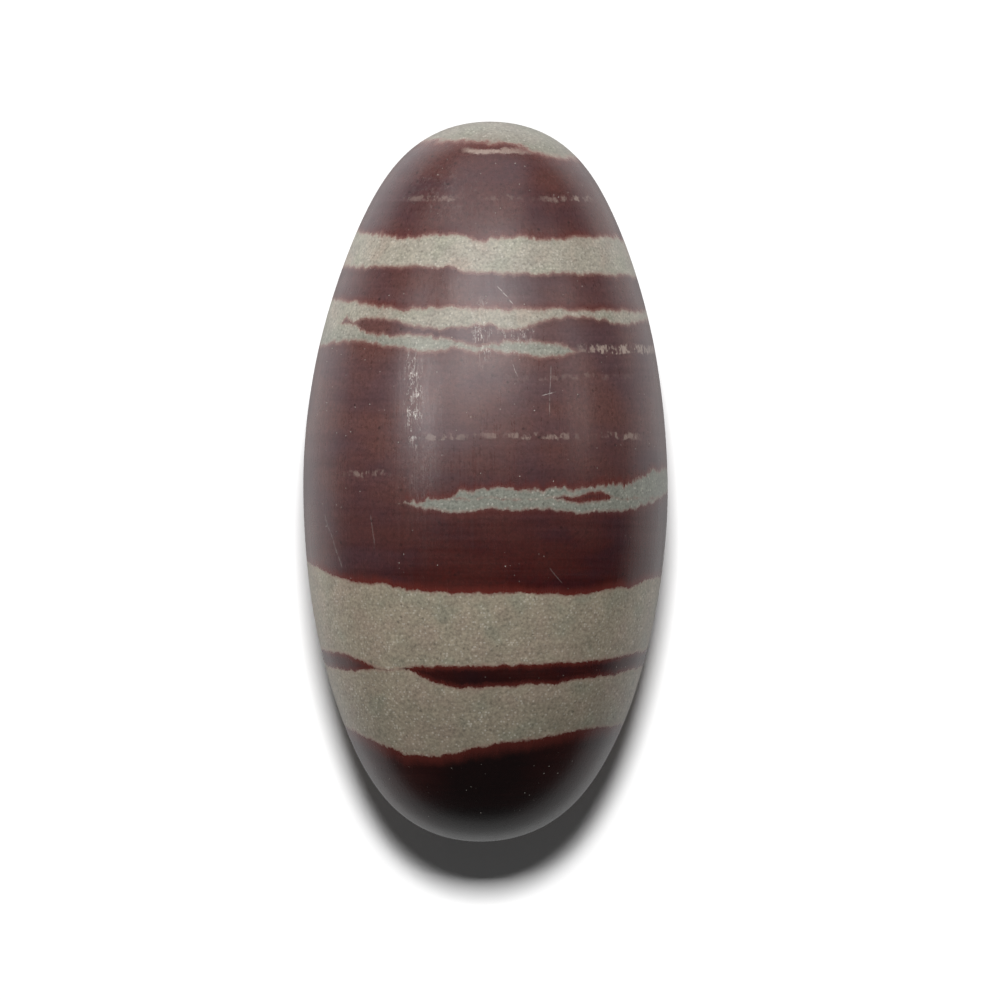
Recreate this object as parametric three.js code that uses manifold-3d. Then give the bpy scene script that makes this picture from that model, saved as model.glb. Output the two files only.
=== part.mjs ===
// A lingam stone: one egg-shaped pebble of banded sandstone, worn by a river and polished by hand.
// It lies on its side, on a small flat spot rubbed into its belly. The stone is one natural solid.
//
// Millimetres, +Z up. +Y runs along the stone towards its narrower end, and +X runs across it.
// The origin lies in the plane of the flat spot, under the middle of the stone.

import * as THREE from 'three';
import { mergeVertices } from 'three/addons/utils/BufferGeometryUtils.js';
import Module from 'manifold-3d';

// Size of the pebble before its flat spot was rubbed in.
const length = 100;
const width = 50.3;
const thickness = 48;

// The flat spot: how much of the belly it takes away.
const flatDepth = 0.7;

// How the outline differs from an ellipse.
const taper = 0.024; // the +Y half is this much narrower for each half length away from the middle
const bluntness = 0.235; // both ends are this much fuller at their tips
const bluntPower = 6; // how closely that fullness keeps to the tips
const tipLean = 0.55; // the +Y tip stands this far towards +X, and the other tip as far towards -X

// How finely the curved surface is faceted.
const segmentsAround = 64;
const segmentsAlong = 44;

const wasm = await Module();
wasm.setup();

// Half the stone's width at a place on its long axis, from -1 at the broad tip to +1 at the narrow one.
function halfWidthAt(place) {
  const ellipse = Math.sqrt(Math.max(0, 1 - place ** 2));
  const fullness = 1 - taper * place + bluntness * place ** bluntPower;
  return (width / 2) * ellipse * fullness;
}

// The outline from the broad tip to the narrow one. Its points crowd towards the tips, where it curves most.
function outline() {
  const points = [];
  for (let step = 0; step <= segmentsAlong; step += 1) {
    const place = -Math.cos((Math.PI * step) / segmentsAlong);
    points.push(new THREE.Vector2(halfWidthAt(place), (place * length) / 2));
  }
  return points;
}

// The whole pebble, centred on the origin: the outline turned about Y, made a little less thick than wide
// and sheared so that its tips lean.
function pebbleGeometry() {
  const geometry = new THREE.LatheGeometry(outline(), segmentsAround);
  geometry.scale(1, 1, thickness / width);
  geometry.applyMatrix4(new THREE.Matrix4().makeShear(0, 0, tipLean / (length / 2), 0, 0, 0));
  return geometry;
}

// What the flat spot takes away: a block whose top face cuts the belly.
function flatSpotCutter() {
  const depth = thickness / 2;
  const geometry = new THREE.BoxGeometry(2 * width, 2 * length, depth);
  geometry.translate(0, 0, -thickness / 2 + flatDepth - depth / 2);
  return geometry;
}

// A closed three.js geometry as a solid that can be cut.
function toSolid(geometry) {
  geometry.deleteAttribute('normal');
  geometry.deleteAttribute('uv');
  const merged = mergeVertices(geometry);
  const mesh = new wasm.Mesh({
    numProp: 3,
    vertProperties: merged.attributes.position.array,
    triVerts: new Uint32Array(merged.index.array),
  });
  return new wasm.Manifold(mesh);
}

// A cut solid as a three.js geometry again.
function toGeometry(solid) {
  const { vertProperties, triVerts } = solid.getMesh();
  const geometry = new THREE.BufferGeometry();
  geometry.setAttribute('position', new THREE.BufferAttribute(vertProperties, 3));
  geometry.setIndex(new THREE.BufferAttribute(triVerts, 1));
  geometry.computeVertexNormals();
  return geometry;
}

// Moves a geometry so that it stands on z = 0 with the middle of its bounding box over the origin.
function standOnOrigin(geometry) {
  geometry.computeBoundingBox();
  const { min, max } = geometry.boundingBox;
  geometry.translate(-(min.x + max.x) / 2, -(min.y + max.y) / 2, -min.z);
}

function stone() {
  const geometry = toGeometry(toSolid(pebbleGeometry()).subtract(toSolid(flatSpotCutter())));
  standOnOrigin(geometry);
  const material = new THREE.MeshStandardMaterial({ color: 0x6e4a44, roughness: 0.38, metalness: 0 });
  const mesh = new THREE.Mesh(geometry, material);
  mesh.name = 'stone';
  return mesh;
}

const lingamStone = new THREE.Group();
lingamStone.add(stone());

export default lingamStone;
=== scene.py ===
"""Looks of a lingam stone: one egg-shaped pebble of banded maroon and grey sandstone, polished by hand.

The stone lies on its side on a small flat spot. +Y runs along it to its narrower end, and +Z is up.
Blender works in metres. The beds and the grain of the stone are given in millimetres, because its
material turns places into millimetres first.
"""
import math
from dataclasses import dataclass
from functools import reduce

import bmesh
import bpy
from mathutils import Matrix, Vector, noise


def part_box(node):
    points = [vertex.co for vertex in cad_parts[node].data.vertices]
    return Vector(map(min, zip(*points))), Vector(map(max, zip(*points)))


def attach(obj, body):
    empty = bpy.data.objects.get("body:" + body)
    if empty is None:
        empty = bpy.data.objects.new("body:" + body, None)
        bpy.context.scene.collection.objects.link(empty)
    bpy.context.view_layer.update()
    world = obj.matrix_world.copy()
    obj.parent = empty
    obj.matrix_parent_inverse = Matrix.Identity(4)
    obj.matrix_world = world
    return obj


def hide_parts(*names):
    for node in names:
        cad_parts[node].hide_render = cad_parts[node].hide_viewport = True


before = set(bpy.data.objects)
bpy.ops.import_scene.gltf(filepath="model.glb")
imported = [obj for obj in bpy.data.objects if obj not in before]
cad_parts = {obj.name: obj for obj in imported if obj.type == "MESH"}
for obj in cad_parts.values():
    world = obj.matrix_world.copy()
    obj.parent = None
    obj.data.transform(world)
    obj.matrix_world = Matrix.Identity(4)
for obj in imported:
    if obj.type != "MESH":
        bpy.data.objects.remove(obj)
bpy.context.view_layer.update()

MM = 0.001

# ---------------------------------------------------------------------------------------------
# Sizes, from the CAD node's box
# ---------------------------------------------------------------------------------------------
low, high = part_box("stone")
LENGTH = high.y - low.y
WIDTH = high.x - low.x
HEIGHT = high.z - low.z
FLAT_DEPTH = 0.7 * MM  # what the flat spot takes off the belly
THICKNESS = HEIGHT + FLAT_DEPTH
AXIS_HEIGHT = HEIGHT - THICKNESS / 2
CENTRE = Vector(((low.x + high.x) / 2, (low.y + high.y) / 2, AXIS_HEIGHT))

# How the outline differs from an ellipse, as in the CAD model
TAPER = 0.024
BLUNTNESS = 0.235
BLUNT_POWER = 6
TIP_LEAN = 0.55 * MM

# ---------------------------------------------------------------------------------------------
# The stone's surface
# ---------------------------------------------------------------------------------------------
GRID_STEPS = 120  # grid cells along each edge of the cube that the surface starts from
FLAT_EDGE = 0.12 * MM  # how softly the flat spot's edge is rounded
TIP_RADIUS = 0.1 * MM  # nearer than this to the long axis, a point has no turn of its own

# Waves that hand polishing leaves: (wavelength, height), both in metres
WAVES = [(22 * MM, 0.16 * MM), (8 * MM, 0.035 * MM), (3 * MM, 0.008 * MM)]

# Swellings (+) and dents (-): direction from the centre, radius as an angle in radians, height
SWELLINGS = [
    ((-1.0, 0.25, 0.15), 0.45, 0.32 * MM),
    ((-0.9, -0.45, 0.2), 0.30, 0.15 * MM),
    ((0.9, -0.20, 0.1), 0.30, 0.10 * MM),
    ((0.3, -0.50, 0.8), 0.10, -0.05 * MM),
    ((-0.6, 0.60, 0.5), 0.08, -0.05 * MM),
    ((0.5, 0.20, -0.8), 0.14, -0.10 * MM),
    ((-0.4, -0.70, -0.6), 0.09, -0.09 * MM),
    ((0.7, 0.65, -0.3), 0.07, -0.07 * MM),
]


def cube_grid(steps):
    """A cube from -1 to 1 whose faces are grids of steps by steps square cells."""
    grid = bmesh.new()
    bmesh.ops.create_cube(grid, size=2)
    bmesh.ops.subdivide_edges(grid, edges=grid.edges, cuts=steps - 1, use_grid_fill=True)
    return grid


def on_unit_sphere(corner):
    """Where a point of the cube goes on the unit sphere, with cells of nearly even size."""
    return Vector([math.tan(part * math.pi / 4) for part in corner]).normalized()


def pebble_point(direction):
    """The smooth pebble's surface point in this direction, from the pebble's centre."""
    fullness = 1 - TAPER * direction.y + BLUNTNESS * direction.y**BLUNT_POWER
    return Vector((
        WIDTH / 2 * direction.x * fullness + TIP_LEAN * direction.y,
        LENGTH / 2 * direction.y,
        THICKNESS / 2 * direction.z * fullness,
    ))


def outward(point):
    """The surface's normal, taken from the ellipsoid with the pebble's three sizes."""
    return Vector((point.x / WIDTH**2, point.y / LENGTH**2, point.z / THICKNESS**2)).normalized()


def relief(direction, point):
    """How far the real surface stands out of the smooth pebble."""
    height = sum(size * noise.noise(point / wavelength) for wavelength, size in WAVES)
    for towards, radius, size in SWELLINGS:
        angle = direction.angle(Vector(towards))
        height += size * math.exp(-((angle / radius) ** 2))
    return height


def rest_on_floor(height):
    """A height above the floor. What is below the floor is taken off, and the cut's edge is rounded."""
    return (height + math.hypot(height, FLAT_EDGE)) / 2


def wrap_map(mesh):
    """Lays the surface out flat, slit along the belly: U runs round the stone and V along it."""
    layer = mesh.uv_layers.new(name="OFBake")
    for face in mesh.polygons:
        middle = face.center - CENTRE
        middle_turn = math.atan2(middle.x, middle.z) / math.tau
        for corner, vertex in zip(face.loop_indices, face.vertices):
            place = mesh.vertices[vertex].co - CENTRE
            turn = math.atan2(place.x, place.z) / math.tau
            if math.hypot(place.x, place.z) < TIP_RADIUS:
                turn = middle_turn
            turn += round(middle_turn - turn)
            along = math.acos(max(-1, min(1, -place.y / (LENGTH / 2)))) / math.pi
            layer.uv[corner].vector = (turn + 0.5, along)


def stone_mesh():
    """The visible stone."""
    grid = cube_grid(GRID_STEPS)
    for vertex in grid.verts:
        direction = on_unit_sphere(vertex.co)
        point = pebble_point(direction)
        point += outward(point) * relief(direction, point)
        vertex.co = CENTRE + point
        vertex.co.z = rest_on_floor(vertex.co.z)
    lowest = min(vertex.co.z for vertex in grid.verts)
    for vertex in grid.verts:
        vertex.co.z -= lowest
    bmesh.ops.recalc_face_normals(grid, faces=grid.faces)
    mesh = bpy.data.meshes.new("lingam_stone")
    grid.to_mesh(mesh)
    grid.free()
    mesh.polygons.foreach_set("use_smooth", [True] * len(mesh.polygons))
    wrap_map(mesh)
    return mesh


# ---------------------------------------------------------------------------------------------
# Fields: numbers, places and colours that vary through the stone
# ---------------------------------------------------------------------------------------------
class Field:
    """A node's output. Arithmetic on it adds Math nodes to its material."""

    def __init__(self, tree, socket):
        self.tree = tree
        self.socket = socket

    def then(self, operation, *others):
        """What a Math node makes of this field and the others."""
        node = self.tree.nodes.new("ShaderNodeMath")
        node.operation = operation
        for socket, value in zip(node.inputs, (self, *others)):
            connect(value, socket)
        return Field(self.tree, node.outputs["Value"])

    def __add__(self, other):
        return self.then("ADD", other)

    def __sub__(self, other):
        return self.then("SUBTRACT", other)

    def __mul__(self, other):
        return self.then("MULTIPLY", other)

    def least(self, other):
        """The smaller of two fields."""
        return self.then("MINIMUM", other)

    def most(self, other):
        """The larger of two fields."""
        return self.then("MAXIMUM", other)

    def rise(self, start, end):
        """0 where the field is at start, 1 where it is at end, and smooth between them."""
        node = self.tree.nodes.new("ShaderNodeMapRange")
        node.interpolation_type = "SMOOTHSTEP"
        for name, value in {"Value": self, "From Min": start, "From Max": end}.items():
            connect(value, node.inputs[name])
        return Field(self.tree, node.outputs["Result"])

    def within(self, radius, softness):
        """1 where the field is nearer to 0 than radius, and 0 further away."""
        return self.then("ABSOLUTE").rise(radius + softness, radius)

    def spread(self, low, high):
        """A field from 0 to 1, stretched to run from low to high."""
        return self * (high - low) + low


def connect(value, socket):
    """Feeds a field, a colour or a plain number to a socket."""
    if isinstance(value, Field):
        value.tree.links.new(value.socket, socket)
    else:
        socket.default_value = value


def strongest(fields):
    """The largest of several fields."""
    return reduce(Field.most, fields)


def vector_math(operation, place, other, output="Vector"):
    """What a Vector Math node makes of a place and a fixed vector."""
    node = place.tree.nodes.new("ShaderNodeVectorMath")
    node.operation = operation
    connect(place, node.inputs[0])
    connect(other, node.inputs[1])
    return Field(place.tree, node.outputs[output])


def scaled(place, factors):
    """A place with each coordinate multiplied by its own factor."""
    return vector_math("MULTIPLY", place, factors)


def moved(place, offset):
    """A place moved by a fixed offset."""
    return vector_math("ADD", place, offset)


def distance_along(place, direction):
    """How far a place lies along a direction."""
    return vector_math("DOT_PRODUCT", place, direction, "Value")


def split(place):
    """The three coordinates of a place."""
    node = place.tree.nodes.new("ShaderNodeSeparateXYZ")
    connect(place, node.inputs[0])
    return [Field(place.tree, socket) for socket in node.outputs]


def blended(kind, first, second, share):
    """What a Mix node makes of two places ("VECTOR") or two colours ("RGBA")."""
    tree = next(value.tree for value in (share, first, second) if isinstance(value, Field))
    node = tree.nodes.new("ShaderNodeMix")
    node.data_type = kind
    # the node has sockets for every kind of value, and only those of its own kind are enabled
    sockets = [socket for socket in node.inputs if socket.enabled]
    for socket, value in zip(sockets, (share, first, second)):
        connect(value, socket)
    return Field(tree, next(socket for socket in node.outputs if socket.enabled))


def between(first, second, share):
    """A place that is this share of the way from the first to the second."""
    return blended("VECTOR", first, second, share)


def curve(across, points):
    """A smooth line through points, as a field of the coordinate across."""
    node = across.tree.nodes.new("ShaderNodeFloatCurve")
    mapping = node.mapping
    mapping.use_clip = False
    mapping.extend = "HORIZONTAL"
    line = mapping.curves[0]
    while len(line.points) < len(points):
        line.points.new(0, 0)
    for point, location in zip(line.points, points):
        point.location = location
        point.handle_type = "AUTO"
    mapping.update()
    connect(across, node.inputs["Value"])
    return Field(across.tree, node.outputs["Value"])


@dataclass
class Cloud:
    """Soft noise from about -0.5 to 0.5. waves is how many waves it has for each millimetre along X, Y
    and Z. detail and roughness say how much fine noise lies on them. offset sets it apart from other
    clouds."""

    waves: tuple
    detail: float = 2.0
    roughness: float = 0.5
    offset: tuple = (0, 0, 0)


def noise_of(cloud, place):
    """The cloud's value at a place."""
    node = place.tree.nodes.new("ShaderNodeTexNoise")
    connect(scaled(moved(place, cloud.offset), cloud.waves), node.inputs["Vector"])
    node.inputs["Scale"].default_value = 1
    node.inputs["Detail"].default_value = cloud.detail
    node.inputs["Roughness"].default_value = cloud.roughness
    return Field(place.tree, node.outputs["Fac"]) - 0.5


@dataclass
class Cells:
    """Random cells: their random numbers, the distance from their centres and where their centres are."""

    randoms: list
    distance: Field
    centre: Field

    def specks(self, size, rarity):
        """A speck in some of the cells. size is the distance where a speck ends, and where it is whole.
        rarity is the random number above which cells have a faint speck, and a whole one."""
        return self.distance.rise(*size) * self.randoms[0].rise(*rarity)


def cells(place, per_mm):
    """Cells 1 / per_mm millimetres across."""
    node = place.tree.nodes.new("ShaderNodeTexVoronoi")
    connect(place, node.inputs["Vector"])
    node.inputs["Scale"].default_value = per_mm
    randoms = place.tree.nodes.new("ShaderNodeSeparateColor")
    place.tree.links.new(node.outputs["Color"], randoms.inputs["Color"])
    return Cells(
        [Field(place.tree, socket) for socket in randoms.outputs],
        Field(place.tree, node.outputs["Distance"]),
        Field(place.tree, node.outputs["Position"]),
    )


def colour(red, green, blue):
    """A colour given as the eye sees it, 0 to 255, as the linear one that Blender works with."""
    def linear(part):
        part /= 255
        return part / 12.92 if part <= 0.04045 else ((part + 0.055) / 1.055) ** 2.4

    return (linear(red), linear(green), linear(blue), 1.0)


def mixed(first, second, share):
    """The first colour turned into the second by a share, which is clamped to 0 to 1."""
    return blended("RGBA", first, second, share)


def brightened(shade, factor):
    """A colour multiplied by a field."""
    node = factor.tree.nodes.new("ShaderNodeVectorMath")
    node.operation = "SCALE"
    connect(shade, node.inputs[0])
    connect(factor, node.inputs["Scale"])
    return Field(factor.tree, node.outputs["Vector"])


# ---------------------------------------------------------------------------------------------
# The beds, in millimetres: X across the stone, Y along it, both from its middle
# ---------------------------------------------------------------------------------------------
@dataclass
class Bed:
    """A layer between two edges. Each edge is a line through (x, y) points as it shows on the stone's
    upper side, and dips by so many millimetres on the way to the underside. Where the lower edge is above
    the upper one, the bed has thinned out. dips, rims, rim_widths and ragged give each edge's dip, how
    rusty it is, how many millimetres the rust reaches and how ragged the edge is, the upper edge first."""

    upper: list
    lower: list
    dips: tuple = (0.0, 0.0)
    rims: tuple = (0.0, 0.0)
    rim_widths: tuple = (1.5, 1.5)
    ragged: tuple = (1.0, 1.0)


FAR = 80  # further than the stone reaches

GREY_BEDS = [
    # the cap at the narrow tip
    Bed(
        upper=[(-30, FAR), (30, FAR)],
        lower=[(-14, 46.6), (-8, 47.2), (0, 46.9), (4, 46.6), (5.5, 46.3), (6.5, 45.6), (11, 44.9),
               (15, 44.6)],
        dips=(0, 2.2),
        rims=(0, 0.5),
    ),
    # the even bed near the narrow end
    Bed(
        upper=[(-21, 35.2), (-17, 34.4), (-12, 33.7), (-4, 33.9), (-1, 33.2), (3, 33.6), (10, 33.4),
               (16, 33.8), (20, 33.3)],
        lower=[(-21, 29.9), (-12, 29.6), (-5, 29.4), (-2, 28.8), (6, 28.4), (12, 28.7), (21, 28.4)],
        dips=(2.5, 1.0),
        rims=(0.55, 0.15),
        ragged=(1.3, 0.8),
    ),
    # the two branches below it, which meet at -X
    Bed(
        upper=[(-22, 25.3), (-17, 24.5), (-12.5, 23.6), (-7.5, 23.9), (2, 23.7), (12, 23.6), (22, 23.4)],
        lower=[(-22, 20.6), (-20.3, 21.7), (-19.3, 22.4), (-18.3, 21.9), (-17, 22.4), (-12, 22.1),
               (-9, 21.4), (-5, 21.2), (0.5, 21.4), (3.3, 20.9), (6, 21.4), (8, 22.3), (16, 22.5),
               (18.5, 21.8), (22, 22.3)],
        dips=(3.5, -0.5),
        rims=(0.6, 0.1),
    ),
    Bed(
        upper=[(-22, 23.0), (-20.3, 21.9), (-19.3, 21.6), (-18.3, 21.7), (-17, 20.8), (-14.5, 20.2),
               (-8, 20.1), (-4, 19.1), (-1, 18.6), (3, 19.3), (8, 19.1), (11, 18.6), (12.5, 18.0),
               (22, 17.6)],
        lower=[(-23, 19.0), (-17.5, 19.3), (-12, 18.4), (-8, 18.0), (-4, 18.3), (-1, 18.0), (3, 17.7),
               (8, 17.1), (11, 17.5), (12.5, 18.2), (22, 18.8)],
        dips=(-1.0, 2.5),
        rims=(0.1, 0.25),
    ),
    # the lens that starts in the middle of the upper side and thickens towards +X
    Bed(
        upper=[(-14, -4.2), (-11, -3.1), (-9, -2.6), (-5, -2.2), (-2, -1.3), (9, -1.2), (16, -0.6),
               (19.5, -0.4), (21.5, 0.5), (25, 1.9)],
        lower=[(-14, -2.4), (-11, -3.1), (-5, -4.1), (2, -4.0), (6, -3.8), (11.5, -4.2), (21, -3.7),
               (23.5, -2.6), (25, -1.5)],
        dips=(2.0, 4.5),
        rims=(0.6, 0.3),
        ragged=(1.8, 1.0),
    ),
    # the broad bed near the thick end
    Bed(
        upper=[(-25, -11.0), (-22, -12.7), (-19.5, -13.6), (-14, -14.3), (-10, -14.9), (-2, -15.5),
               (6, -15.3), (10, -15.6), (16, -15.1), (21, -14.3), (25, -12.5)],
        lower=[(-20, -33.9), (-15, -36.2), (-12, -37.4), (-9, -37.8), (-5.5, -37.6), (-1, -36.7),
               (5, -35.8), (10, -34.9), (14, -34.2), (19, -33.7)],
        dips=(-2.5, 3.0),
        rims=(0.85, 0.6),
        rim_widths=(1.5, 2.2),
        ragged=(0.75, 0.7),
    ),
]

# Maroon lenses inside the grey beds
MAROON_LENSES = [
    # in the lens near the middle
    Bed(
        upper=[(9, -2.7), (11, -2.1), (13, -1.9), (14.5, -1.4), (16, -1.4), (17.5, -2.5)],
        lower=[(9, -2.2), (11, -2.6), (13, -2.8), (16, -2.7), (17.5, -2.2)],
        dips=(2.0, 3.0),
        rims=(0.7, 0.7),
        rim_widths=(1.0, 1.0),
        ragged=(0.9, 0.9),
    ),
    # the dark streak through the broad bed
    Bed(
        upper=[(-24, -23.2), (-19.5, -24.1), (-17.3, -24.7), (-15.5, -25.8), (-13.2, -26.0),
               (-10.5, -25.5), (-4, -25.6), (6, -25.3), (16, -24.6), (20.5, -23.8), (23, -23.1)],
        lower=[(-24, -24.8), (-19.5, -26.2), (-17.3, -26.3), (-15.5, -25.9), (-13.2, -26.0),
               (-10.5, -26.3), (-8, -27.5), (-5, -28.2), (-1, -28.5), (6, -28.0), (10, -27.9),
               (16, -27.0), (20.5, -26.0), (23, -25.2)],
        dips=(1.5, 0.2),
        rims=(0.7, 0.6),
        rim_widths=(0.9, 0.9),
        ragged=(0.7, 0.7),
    ),
]


@dataclass
class Thread:
    """A thin broken line of pale grains in the maroon, at one Y. shown gives its strength along X, and
    whole is 1 for a line without gaps."""

    y: float
    thickness: float
    shown: list
    whole: float = 0.0


THREADS = [
    Thread(45.8, 0.15, [(-3.5, 0), (-2, 1.3), (2, 1.3), (5, 1.0), (8, 0)], whole=0.8),
    Thread(39.1, 0.18, [(-13, 0), (-9, 0.5), (-5, 0.5), (-3, 0), (1, 0.3), (4, 0.4), (6, 0.1), (9, 0.5),
                        (14, 0.7), (15, 0)]),
    Thread(18.3, 0.42, [(12.5, 0), (13.5, 0.85), (24, 0.85)]),
    Thread(14.4, 0.18, [(2, 0), (6, 0.2), (18, 0.2), (21, 0)]),
    Thread(6.2, 0.24, [(-10, 0), (-7, 0.6), (-2, 0.4), (2, 0.6), (11, 0.7), (13, 0.2), (16, 0.3),
                       (18, 0.8), (20, 0.8), (22, 0)]),
    Thread(1.0, 0.20, [(-20, 0), (-18, 0.6), (-15, 0.6), (-13, 0)]),
]


@dataclass
class ScuffAndHighlight:
    """A rubbed patch full of fine strokes, partly wear and partly painted highlight, with its middle and
    its half sizes along X and Y.
    """

    x: float
    y: float
    half_width: float
    half_length: float
    strength: float


# Rubbed patches whose pale strokes are partly real wear and partly painted highlight: the strongest lie
# where the small lamps' highlights fall
SCUFFS_AND_HIGHLIGHTS = [
    ScuffAndHighlight(-10.0, 12.0, 1.6, 9.0, 0.8),
    ScuffAndHighlight(-0.5, 20.5, 1.7, 5.5, 0.75),
    ScuffAndHighlight(4.0, 20.0, 3.0, 3.5, 0.5),
    ScuffAndHighlight(-9.0, 2.0, 3.0, 8.0, 0.08),
    ScuffAndHighlight(-6.0, 40.0, 7.0, 5.0, 0.08),
]


@dataclass
class ScratchAndHighlight:
    """A straight pale scratch on the upper side, from one (x, y) point to another: partly wear and partly
    painted highlight.
    """

    start: tuple
    end: tuple
    strength: float


# Pale scratches whose paleness is partly real wear and partly painted highlight
SCRATCHES_AND_HIGHLIGHTS = [
    ScratchAndHighlight((1.8, 26.6), (3.5, 24.7), 0.45),
    ScratchAndHighlight((8.9, 15.5), (8.7, 9.2), 0.2),
    ScratchAndHighlight((-22.3, -5.0), (-20.0, -11.6), 0.12),
    ScratchAndHighlight((-15.9, -5.0), (-15.4, -9.0), 0.12),
    ScratchAndHighlight((8.9, -12.2), (10.2, -13.8), 0.1),
    ScratchAndHighlight((8.0, 11.9), (9.3, 12.3), 0.4),
    ScratchAndHighlight((3.6, 16.4), (4.3, 14.5), 0.3),
]
SCRATCH_HALF_WIDTH = 0.02
SCRATCH_SOFTNESS = 0.07  # how far a scratch fades out at its sides
SCRATCH_TAPER = 0.5  # and at its ends


# ---------------------------------------------------------------------------------------------
# Where the stone is grey, and where its edges are rusty, in millimetres
# ---------------------------------------------------------------------------------------------
# How a bed's edge strays from its smooth line
SLOW_WAVES = Cloud((0.22, 0.10, 0.22), detail=1.0)
SCALLOPS = Cloud((0.7, 0.2, 0.7), detail=1.0)
TEETH = Cloud((1.8, 0.35, 1.8), detail=4.0, roughness=0.7)
TOOTHED_STRETCHES = Cloud((0.09, 0.05, 0.09))
EDGE_OFFSETS = [(3.1, 6.2, -3.1), (11.7, 23.4, -11.7)]  # one for upper edges and one for lower ones

SLOW_WAVE_SIZE = 0.9
SCALLOP_SIZE = 1.1
TOOTH_SIZES = (0.4, 1.2)  # in the smoothest stretches and in the roughest ones

RUSTED_THICKNESS = (0.1, 0.5)  # how thick a bed is where its rust begins, and where its rust is whole
RUST_IN_GREY = 0.25  # how far rust reaches into a grey bed
RUST_OUT_OF_LENS = 0.3  # and out of a maroon lens
RUST_FADE = 0.4  # how soon the rust of one edge fades on the grey side of that edge
UNDERSIDE = (4, -16)  # Z where the beds' edges begin to dip, and where their dip is whole

# Which side of a bed's edge is maroon
OUTSIDE = -1
INSIDE = 1


def stray(place):
    """How far an edge strays along Y: in slow waves, and in teeth that a bed makes larger or smaller."""
    tooth_size = noise_of(TOOTHED_STRETCHES, place).rise(-0.15, 0.15).spread(*TOOTH_SIZES)
    teeth = noise_of(SCALLOPS, place) * SCALLOP_SIZE + noise_of(TEETH, place) * tooth_size
    return noise_of(SLOW_WAVES, place) * SLOW_WAVE_SIZE, teeth


def bed_depth(bed, x, y, strays, underside, maroon_side):
    """How deep a place lies inside a bed, and negative outside it, and how rusty the place is. The rust is
    in the maroon next to each edge, on the side that maroon_side gives."""
    y_upper, y_lower = [y + waves + teeth * ragged for (waves, teeth), ragged in zip(strays, bed.ragged)]
    below_upper = curve(x, bed.upper) + underside * bed.dips[0] - y_upper
    above_lower = y_lower - curve(x, bed.lower) - underside * bed.dips[1]
    thick_enough = (below_upper + above_lower).rise(*RUSTED_THICKNESS)
    rims = []
    for distance, strength, width in zip((below_upper, above_lower), bed.rims, bed.rim_widths):
        into_maroon = distance * maroon_side
        rim = into_maroon.rise(width, 0.0) * into_maroon.rise(-RUST_FADE, 0.0)
        rims.append(rim * thick_enough * strength)
    return below_upper.least(above_lower), strongest(rims)


def grey_and_rust(x, y, z, place):
    """How deep a place lies in grey stone, and negative in maroon, and how rusty it is."""
    underside = z.rise(*UNDERSIDE)
    strays = [stray(moved(place, offset)) for offset in EDGE_OFFSETS]
    beds = [bed_depth(bed, x, y, strays, underside, OUTSIDE) for bed in GREY_BEDS]
    depth = strongest([inside for inside, rust in beds])
    rust = strongest([rust for inside, rust in beds]) * depth.rise(RUST_IN_GREY, 0.0)
    for lens in MAROON_LENSES:
        inside, lens_rust = bed_depth(lens, x, y, strays, underside, INSIDE)
        rust = rust.most(lens_rust * inside.rise(-RUST_OUT_OF_LENS, 0.0))
        depth = depth.least(inside * -1)
    return depth, rust


# ---------------------------------------------------------------------------------------------
# The stone's material
# ---------------------------------------------------------------------------------------------
GRAINS_PER_MM = 3.2
EDGES_FOLLOW_GRAINS = 0.5  # how far colours keep to whole sand grains: 0 not at all, 1 wholly
EDGE_BLUR = (-0.18, 0.2)  # the depth in grey stone where it is still all maroon, and where it is all grey
REFRACTIVE_INDEX = 1.54  # quartz
SURFACE_ROUGHNESS = 0.31  # of polished maroon stone
DIFFUSE_ROUGHNESS = 0.5  # sandstone scatters light more evenly than a smooth matt surface
MAROON_BRIGHTNESS = 0.92  # grains and noise brighten and darken the stone from here
GREY_GRAIN_BRIGHTNESS = 0.9

# Specks, as Cells.specks takes them
DARK_SPECKS_PER_MM = 0.95
DARK_SPECK_SIZE = (0.28, 0.12)
DARK_SPECK_RARITY = (0.74, 0.80)
WHITE_SPECKS_PER_MM = 1.5
WHITE_SPECK_SIZE = (0.16, 0.08)
WHITE_SPECK_RARITY = (0.80, 0.84)
GLINT_SIZE = (0.65, 0.25)
GLINT_RARITY = (0.76, 0.98)
BLACK_GRAIN_RARITY = (0.985, 0.99)

# Stretches over which the looks change, in millimetres from the stone's middle
LEFT_SIDE = (-19, -6)  # X: the maroon grows deeper, leaving the painted light that pales its left side
LEFT_PAINTED_LIGHT_DEEPNESS = (0.6, 1)  # how deep it is on the left, paled there by painted light, and further in
BLACK_MIDDLE = (1, 16)  # X: the black is whole this near the middle, and thins over so much more
BLACKNESS = (0.5, 1)  # how black it is at the sides, and in the middle
BLACK_END = (-14, -36)  # Y: the maroon turns black
FRINGED_END = (-10, 16)  # Y: the maroon beside the grey beds turns paler
NARROW_HALF = (0, 25)  # Y: GREY turns into a bluer grey, a painted sheen of the window's bluish reflection
WEAR_AND_HIGHLIGHT_SIDE = (2, 8)  # Z: scuffs and scratches, partly wear and partly painted highlight, begin to show
FRINGE = (-0.55, -0.1)  # the depth in grey stone where the pale fringe begins, and where it is whole
PINK_EDGE = 0.5  # how deep the pinkish edge of a grey bed is
THREAD_SOFTNESS = 0.3

# How strongly these show over what is under them, from 0 to 1
DARK_SPECKS_SHOW = 0.6
THREADS_SHOW = 0.65
FRINGE_SHOWS = 0.35
GREEN_TINT_SHOWS = 0.5
PINK_TINT_SHOWS = 0.4
GLINTS_SHOW = 0.5
BLACK_GRAINS_SHOW = 0.3
PINK_EDGE_SHOWS = 0.4
WHITE_SPECKS_SHOW = 0.6

# Fine relief, in millimetres
GRAIN_RELIEF = 0.004
FINE_RELIEF = 0.006
STREAK_RELIEF = 0.012
WEAR_RELIEF = 0.01
PIT_DEPTH = 0.02  # of a white speck

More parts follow.
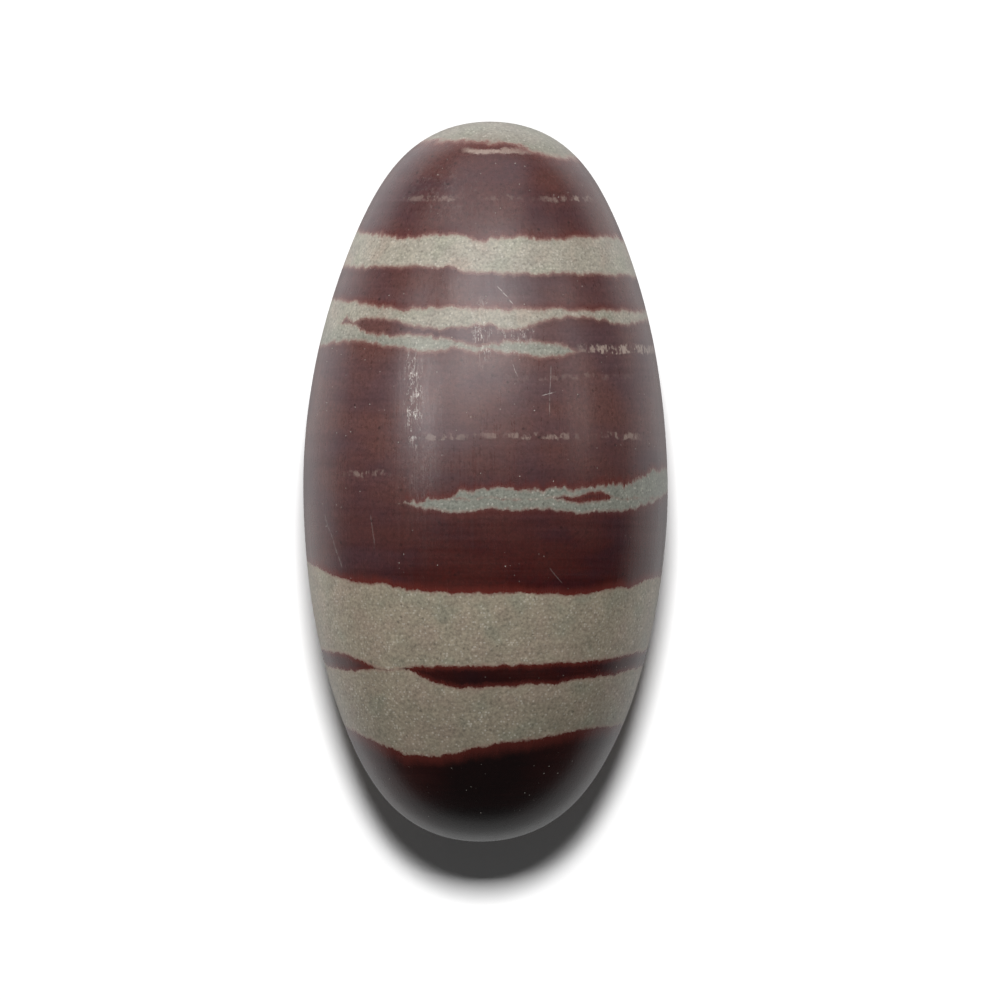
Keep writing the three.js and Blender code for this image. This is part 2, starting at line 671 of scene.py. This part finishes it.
GREY = colour(166, 155, 136)
# painted sheen: the grey made bluer towards the narrow end, where the window's bluish reflection falls
GREY_WITH_SHEEN = colour(165, 158, 144)
GREY_GREEN = colour(152, 152, 134)
GREY_DARK_GREEN = colour(144, 145, 134)
GREY_PINK = colour(170, 150, 135)
MAROON = colour(108, 72, 67)
MAROON_PURPLE = colour(101, 73, 76)
MAROON_DEEP = colour(66, 14, 9)
MAROON_DEEP_PURPLE = colour(60, 20, 26)
MAROON_BLACK = colour(20, 4, 4)
RUST = colour(108, 44, 36)
PALE_PINK = colour(172, 134, 122)
THREAD = colour(180, 160, 148)
# crushed grain of the scuffs and scratches, whose paleness is partly painted highlight
CRUSHED_GRAIN_AND_HIGHLIGHT = colour(244, 238, 230)
GLINT = colour(222, 216, 204)
BLACK_GRAIN = colour(30, 12, 12)

# Curves through (y, value) points: how green the grey is, how bright it is and how deep the maroon is
GREENER = [(-12, 0), (-6, 0.9), (2, 0.9), (8, 0), (16, 0.2), (18, 0.8), (20, 0.6), (22, 0.1), (30, 0)]
# Grey brightness: partly its own tone, partly painted light and shade, brightest where most light falls
# towards the narrow end
GREY_BRIGHTNESS_AND_PAINTED_LIGHT = [(-50, 0.80), (-36, 0.81), (-22, 0.94), (0, 0.98), (25, 1.12), (36, 1.10), (46, 0.81)]
DEEPNESS = [(-24, 1.0), (-9, 0.80), (-3, 0.55), (4, 0.24), (12, 0.03), (20, 0.06), (30, 0.26),
            (38, 0.36), (50, 0.40)]

MOTTLE = Cloud((0.10, 0.16, 0.10), detail=3.0)
LAMINAE = Cloud((0.04, 1.1, 0.04), detail=3.0, roughness=0.65)
FINE = Cloud((1.7, 1.7, 1.7), detail=3.0, roughness=0.7)
SAND = Cloud((2.6, 2.6, 2.6), roughness=0.6)
TINT = Cloud((0.22, 0.22, 0.22), offset=(40, 0, 0))
PATCHES = Cloud((0.35, 0.35, 0.35), offset=(0, 0, 70))
SPECK_CLUSTERS = Cloud((0.25, 0.25, 0.25), offset=(0, 90, 0))
THREAD_WAVES = Cloud((0.3, 0.1, 0.3))
THREAD_KINKS = Cloud((1.5, 0.3, 1.5))
THREAD_GAPS = Cloud((0.9, 0.4, 0.9), detail=3.0, roughness=0.75)
DASHES = Cloud((3.2, 0.5, 3.2))
CURLS = Cloud((2.4, 1.5, 2.4), offset=(30, 0, 0))
DASH_GAPS = Cloud((1.4, 0.7, 1.4), detail=3.0, roughness=0.7)
# painted sheen: faint streaks along the stone that stand in for the highlights' streaks in the rubbed
# patches
BRUSHING_AND_SHEEN = Cloud((3.0, 0.14, 3.0), roughness=0.6, offset=(0, 0, 30))
SCRATCH_WOBBLE = Cloud((0.4, 0.4, 0.4), detail=3.0)
SCRATCH_GAPS = Cloud((1.5, 1.5, 1.5))
POLISH_STREAKS = Cloud((1.6, 0.05, 1.6), detail=3.0, roughness=0.7)


class Rock:
    """The fields that the parts of the material share. Lengths are in millimetres. x and y keep to whole
    sand grains as far as EDGES_FOLLOW_GRAINS says, and place doesn't."""

    def __init__(self, tree):
        metres = tree.nodes.new("ShaderNodeTexCoord").outputs["Object"]
        self.place = scaled(moved(Field(tree, metres), -CENTRE), (1 / MM,) * 3)
        self.grains = cells(self.place, GRAINS_PER_MM)
        self.grain_place = between(self.place, self.grains.centre, EDGES_FOLLOW_GRAINS)
        self.x, self.y, z = split(self.grain_place)
        self.depth, self.rust = grey_and_rust(self.x, self.y, z, self.grain_place)
        self.deepness = curve(self.y, DEEPNESS)
        self.mottle = self.noise(MOTTLE)
        self.laminae = self.noise(LAMINAE)
        self.fine = self.noise(FINE)
        self.sand = self.noise(SAND)

    def noise(self, cloud):
        """A cloud's value in the rock."""
        return noise_of(cloud, self.place)


def maroon_rock(rock):
    """Maroon stone, which is nearly black at the thick end, with dark specks, pale threads and rust."""
    blotches = rock.laminae * 0.4 + rock.mottle * 0.45 + rock.fine * 0.3
    shade = mixed(MAROON, MAROON_PURPLE, rock.mottle.rise(-0.2, 0.2))
    deep = mixed(MAROON_DEEP, MAROON_DEEP_PURPLE, rock.mottle.rise(0.0, 0.18))
    # painted light: the maroon paler at the left side, where light from that side falls
    deeper_past_painted_light = rock.x.rise(*LEFT_SIDE).spread(*LEFT_PAINTED_LIGHT_DEEPNESS)
    shade = mixed(shade, deep, rock.deepness * deeper_past_painted_light + blotches)
    blacker = rock.x.within(*BLACK_MIDDLE).spread(*BLACKNESS)
    shade = mixed(shade, MAROON_BLACK, rock.y.rise(*BLACK_END) * blacker + blotches)
    grain = rock.fine * 1.1 + rock.sand * 0.5 + rock.grains.randoms[0] * 0.16
    shade = brightened(shade, grain + MAROON_BRIGHTNESS)
    dark_cells = cells(rock.place, DARK_SPECKS_PER_MM)
    specks = dark_cells.specks(DARK_SPECK_SIZE, DARK_SPECK_RARITY) * dark_cells.randoms[1]
    shade = mixed(shade, BLACK_GRAIN, specks * DARK_SPECKS_SHOW)
    shade = mixed(shade, THREAD, thread_share(rock) * THREADS_SHOW)
    shade = mixed(shade, RUST, rock.rust)
    fringe = rock.depth.rise(*FRINGE) * rock.y.rise(*FRINGED_END)
    return mixed(shade, PALE_PINK, fringe * FRINGE_SHOWS)


def thread_share(rock):
    """How much a place lies in a pale thread."""
    wander = noise_of(THREAD_WAVES, rock.grain_place) * 1.4
    wander = wander + noise_of(THREAD_KINKS, rock.grain_place) * 0.5
    unbroken = noise_of(THREAD_GAPS, rock.grain_place).rise(-0.05, 0.09)
    return strongest([
        (rock.y - thread.y + wander).within(thread.thickness, THREAD_SOFTNESS)
        * unbroken.most(thread.whole) * curve(rock.x, thread.shown)
        for thread in THREADS
    ])


def grey_rock(rock):
    """Grey sandstone, greener in places, with bright grains, a few black ones and pinkish edges."""
    tint = rock.noise(TINT)
    patches = rock.noise(PATCHES)
    # painted sheen: bluer towards the narrow end
    shade = mixed(GREY, GREY_WITH_SHEEN, rock.y.rise(*NARROW_HALF))
    shade = mixed(shade, GREY_GREEN, tint.rise(0.0, 0.2) * GREEN_TINT_SHOWS)
    shade = mixed(shade, GREY_PINK, tint.rise(0.0, -0.2) * PINK_TINT_SHOWS)
    shade = mixed(shade, GREY_DARK_GREEN, curve(rock.y, GREENER))
    # painted light and shade along the stone, on top of the grey's own tone
    shade = brightened(shade, curve(rock.y, GREY_BRIGHTNESS_AND_PAINTED_LIGHT))
    grain = rock.sand * 1.3 + patches * 0.35 + rock.laminae * 0.2 + rock.grains.randoms[0] * 0.16
    shade = brightened(shade, grain + GREY_GRAIN_BRIGHTNESS)
    bright = (rock.grains.randoms[1] + patches * 0.5 + rock.fine * 0.4).rise(*GLINT_RARITY)
    shade = mixed(shade, GLINT, bright * rock.grains.distance.rise(*GLINT_SIZE) * GLINTS_SHOW)
    shade = mixed(shade, BLACK_GRAIN, rock.grains.randoms[2].rise(*BLACK_GRAIN_RARITY) * BLACK_GRAINS_SHOW)
    return mixed(shade, PALE_PINK, rock.depth.rise(PINK_EDGE, 0.0) * PINK_EDGE_SHOWS)


def white_specks(rock):
    """Tiny white specks, in loose clusters."""
    specks = cells(rock.place, WHITE_SPECKS_PER_MM).specks(WHITE_SPECK_SIZE, WHITE_SPECK_RARITY)
    return specks * rock.noise(SPECK_CLUSTERS).rise(-0.08, 0.12)


def scuff_and_highlight_share(rock):
    """How much a place lies in a rubbed patch, which is partly wear and partly painted highlight."""
    x, y = split(rock.place)[:2]
    patches = []
    for scuff_and_highlight in SCUFFS_AND_HIGHLIGHTS:
        across = (x - scuff_and_highlight.x) * (1 / scuff_and_highlight.half_width)
        along = (y - scuff_and_highlight.y) * (1 / scuff_and_highlight.half_length)
        patches.append((across * across + along * along).rise(1.0, 0.1) * scuff_and_highlight.strength)
    return strongest(patches)


def scuff_and_highlight_strokes(rock):
    """The fine strokes of rubbed stone, partly crushed grain and partly painted highlight: dashes and
    curls with gaps, and a faint painted sheen of brushing.
    """
    strokes = rock.noise(DASHES).within(0.015, 0.03).most(rock.noise(CURLS).within(0.01, 0.02))
    strokes = strokes * rock.noise(DASH_GAPS).rise(-0.02, 0.14)
    return strokes.most(rock.noise(BRUSHING_AND_SHEEN).rise(0.04, 0.25) * 0.5)


def scratch_and_highlight_share(rock):
    """How much a place lies in a pale scratch, which is partly wear and partly painted highlight."""
    wobble = rock.noise(SCRATCH_WOBBLE) * 0.5
    lines = []
    for scratch_and_highlight in SCRATCHES_AND_HIGHLIGHTS:
        start, end = Vector(scratch_and_highlight.start).to_3d(), Vector(scratch_and_highlight.end).to_3d()
        middle = (start + end) / 2
        run = (end - start).normalized()
        side = Vector((-run.y, run.x, 0))
        along = distance_along(rock.place, run) - middle.dot(run)
        across = distance_along(rock.place, side) - middle.dot(side) + wobble
        line = across.within(SCRATCH_HALF_WIDTH, SCRATCH_SOFTNESS)
        line = line * along.within((end - start).length / 2, SCRATCH_TAPER)
        lines.append(line * scratch_and_highlight.strength)
    return strongest(lines) * rock.noise(SCRATCH_GAPS).rise(-0.2, 0.05)


def stone_material():
    """Banded sandstone: grey and maroon beds with rusty edges, specks, scuffs and scratches that are
    partly painted highlight, and polish.
    """
    material = bpy.data.materials.new("banded_stone")
    material.use_nodes = True
    tree = material.node_tree
    shader = tree.nodes["Principled BSDF"].inputs
    rock = Rock(tree)
    wear_and_highlight_side = split(rock.place)[2].rise(*WEAR_AND_HIGHLIGHT_SIDE)
    grey_share = rock.depth.rise(*EDGE_BLUR)
    specks = white_specks(rock)
    # scuffs and scratches on the upper side: partly real wear, partly painted highlight
    scuffed_and_highlit = scuff_and_highlight_share(rock) * wear_and_highlight_side
    wear_and_highlight = (scuff_and_highlight_strokes(rock) * scuffed_and_highlit).most(scratch_and_highlight_share(rock) * wear_and_highlight_side)
    streaks = rock.noise(POLISH_STREAKS)

    shade = mixed(maroon_rock(rock), grey_rock(rock), grey_share)
    shade = mixed(shade, GLINT, specks * WHITE_SPECKS_SHOW)
    # pale strokes of scuffs and scratches: real wear mixed with painted highlight
    connect(mixed(shade, CRUSHED_GRAIN_AND_HIGHLIGHT, wear_and_highlight), shader["Base Color"])

    roughness = rock.mottle * 0.10 + streaks * 0.2 + rock.fine * 0.08 + grey_share * 0.08 + scuffed_and_highlit * 0.06
    connect(roughness - rock.deepness * 0.06 + SURFACE_ROUGHNESS, shader["Roughness"])
    shader["IOR"].default_value = REFRACTIVE_INDEX
    shader["Diffuse Roughness"].default_value = DIFFUSE_ROUGHNESS

    height = rock.grains.distance * -GRAIN_RELIEF + rock.fine * FINE_RELIEF + streaks * STREAK_RELIEF
    height = height + wear_and_highlight * WEAR_RELIEF - specks * PIT_DEPTH
    bump = tree.nodes.new("ShaderNodeBump")
    bump.inputs["Distance"].default_value = MM
    connect(height, bump.inputs["Height"])
    tree.links.new(bump.outputs["Normal"], shader["Normal"])
    return material


def make_stone():
    """The pebble in the place of the CAD model's plain one."""
    stone = bpy.data.objects.new("lingam_stone", stone_mesh())
    bpy.context.scene.collection.objects.link(stone)
    stone.data.materials.append(stone_material())
    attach(stone, "root")
    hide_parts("stone")
    return stone


# ---------------------------------------------------------------------------------------------
# Floor, light and camera
# ---------------------------------------------------------------------------------------------
FLOOR_SIZE = 8.0
FLOOR_WHITE = 0.9
SKY_GLOW = 0.065  # the room's light from above
TABLE_GLOW_BACK = 1.2  # a pale table's light from below, towards +Y
TABLE_GLOW_FRONT = 0.39  # and towards -Y
TABLE_GLOW_LEFT = 0.1  # how much more it glows at -X than in the middle
TABLE_SHADE = 0.6  # how much less it glows right below the stone

# The Z of a direction, which is -1 straight down
TABLE_EDGE = (-0.1, -0.45)  # where the table's glow begins, and where it is whole
TABLE_MIDDLE = (-0.8, -1.0)  # where the stone begins to shade the table, and where it does so most

SENSOR_WIDTH = 36  # in millimetres, as the lens length is
CAMERA_HEIGHT = 2.5  # above the stone's middle
VIEW_WIDTH = 1.389 * LENGTH  # what the camera sees across the stone's middle
VIEW_CENTRE = Vector((0.019 * LENGTH, -0.026 * LENGTH))  # what it looks at, from the stone's middle


@dataclass
class Softbox:
    """A rectangular soft light aimed at the stone. towards is its direction from there, and radiance says
    how bright it looks at any size."""

    name: str
    towards: tuple
    distance: float
    width: float
    height: float
    radiance: float
    tint: tuple = (1, 1, 1)


FLOOR_LAMP = Softbox("floor_lamp", (-0.006, 0.277, 1.0), 3.5, 0.48, 0.48, 204)
STONE_LAMPS = [
    Softbox("window", (-0.02, 0.87, 0.42), 0.8, 0.80, 0.80, 1.05, tint=(0.96, 0.97, 1.0)),
    Softbox("ceiling_lamp", (-0.06, 0.47, 0.88), 0.8, 0.60, 0.38, 4.6),
    Softbox("left_lamp", (-0.66, 0.28, 0.71), 0.7, 0.18, 0.34, 6.0),
    Softbox("left_back_lamp", (-0.55, 0.68, 0.45), 0.8, 0.36, 0.36, 1.0),
    Softbox("right_lamp", (0.40, 0.48, 0.78), 0.8, 0.24, 0.31, 2.0),
    Softbox("side_lamp", (0.78, 0.38, 0.50), 0.8, 0.50, 0.25, 1.3),
]


def make_floor():
    """A white floor. It neither lights the stone nor shows in it: the world's glow stands in for that."""
    mesh = bpy.data.meshes.new("floor")
    half = FLOOR_SIZE / 2
    corners = [(-half, -half, 0), (half, -half, 0), (half, half, 0), (-half, half, 0)]
    mesh.from_pydata(corners, [], [(0, 1, 2, 3)])
    floor = bpy.data.objects.new("floor", mesh)
    bpy.context.scene.collection.objects.link(floor)
    material = bpy.data.materials.new("floor_white")
    material.use_nodes = True
    shader = material.node_tree.nodes["Principled BSDF"].inputs
    shader["Base Color"].default_value = (FLOOR_WHITE, FLOOR_WHITE, FLOOR_WHITE, 1)
    shader["Roughness"].default_value = 1
    shader["Specular IOR Level"].default_value = 0
    mesh.materials.append(material)
    floor.visible_diffuse = False
    floor.visible_glossy = False
    return floor


def add_softbox(box, receiver):
    """Adds a soft light that reaches only its receiver. Everything still casts a shadow in it."""
    lamp = bpy.data.lights.new(box.name, "AREA")
    lamp.shape = "RECTANGLE"
    lamp.size = box.width
    lamp.size_y = box.height
    lamp.energy = box.radiance * math.pi * box.width * box.height
    lamp.color = box.tint
    light = bpy.data.objects.new(box.name, lamp)
    bpy.context.scene.collection.objects.link(light)
    light.location = CENTRE + Vector(box.towards).normalized() * box.distance
    light.rotation_mode = "QUATERNION"
    light.rotation_quaternion = (CENTRE - light.location).to_track_quat("-Z", "Y")
    reach = bpy.data.collections.new(box.name + "_reach")
    reach.objects.link(receiver)
    light.light_linking.receiver_collection = reach


def make_lights(stone, floor):
    """One lamp for the floor and its shadow, and the rest for the stone."""
    add_softbox(FLOOR_LAMP, floor)
    for lamp in STONE_LAMPS:
        add_softbox(lamp, stone)


def make_world():
    """Dim light from above, more from below as a pale table gives it, and a white backdrop."""
    world = bpy.data.worlds.new("studio")
    world.use_nodes = True
    tree = world.node_tree
    direction = tree.nodes.new("ShaderNodeTexCoord").outputs["Generated"]
    to_right, to_back, to_sky = split(Field(tree, direction))
    table = to_back.rise(-1, 1).spread(TABLE_GLOW_FRONT - SKY_GLOW, TABLE_GLOW_BACK - SKY_GLOW)
    shaded = to_sky.rise(*TABLE_MIDDLE).spread(1, 1 - TABLE_SHADE)
    table = table * (to_right * -TABLE_GLOW_LEFT + 1) * shaded
    glow, backdrop = tree.nodes["Background"], tree.nodes.new("ShaderNodeBackground")
    for light in (glow, backdrop):
        light.inputs["Color"].default_value = (1, 1, 1, 1)
    connect(to_sky.rise(*TABLE_EDGE) * table + SKY_GLOW, glow.inputs["Strength"])
    path = tree.nodes.new("ShaderNodeLightPath")
    choice = tree.nodes.new("ShaderNodeMixShader")
    sources = (path.outputs["Is Camera Ray"], glow.outputs["Background"], backdrop.outputs["Background"])
    for source, socket in zip(sources, choice.inputs):
        tree.links.new(source, socket)
    tree.links.new(choice.outputs["Shader"], tree.nodes["World Output"].inputs["Surface"])
    bpy.context.scene.world = world


def make_camera():
    """Looks straight down on the stone, with its narrow end at the top of the picture."""
    lens = bpy.data.cameras.new("camera")
    lens.sensor_width = SENSOR_WIDTH
    lens.lens = SENSOR_WIDTH * CAMERA_HEIGHT / VIEW_WIDTH
    camera = bpy.data.objects.new("camera", lens)
    bpy.context.scene.collection.objects.link(camera)
    camera.location = CENTRE + Vector((VIEW_CENTRE.x, VIEW_CENTRE.y, CAMERA_HEIGHT))
    bpy.context.scene.camera = camera


stone = make_stone()
floor = make_floor()
make_lights(stone, floor)
make_world()
make_camera()
bpy.context.scene.view_settings.view_transform = "Standard"
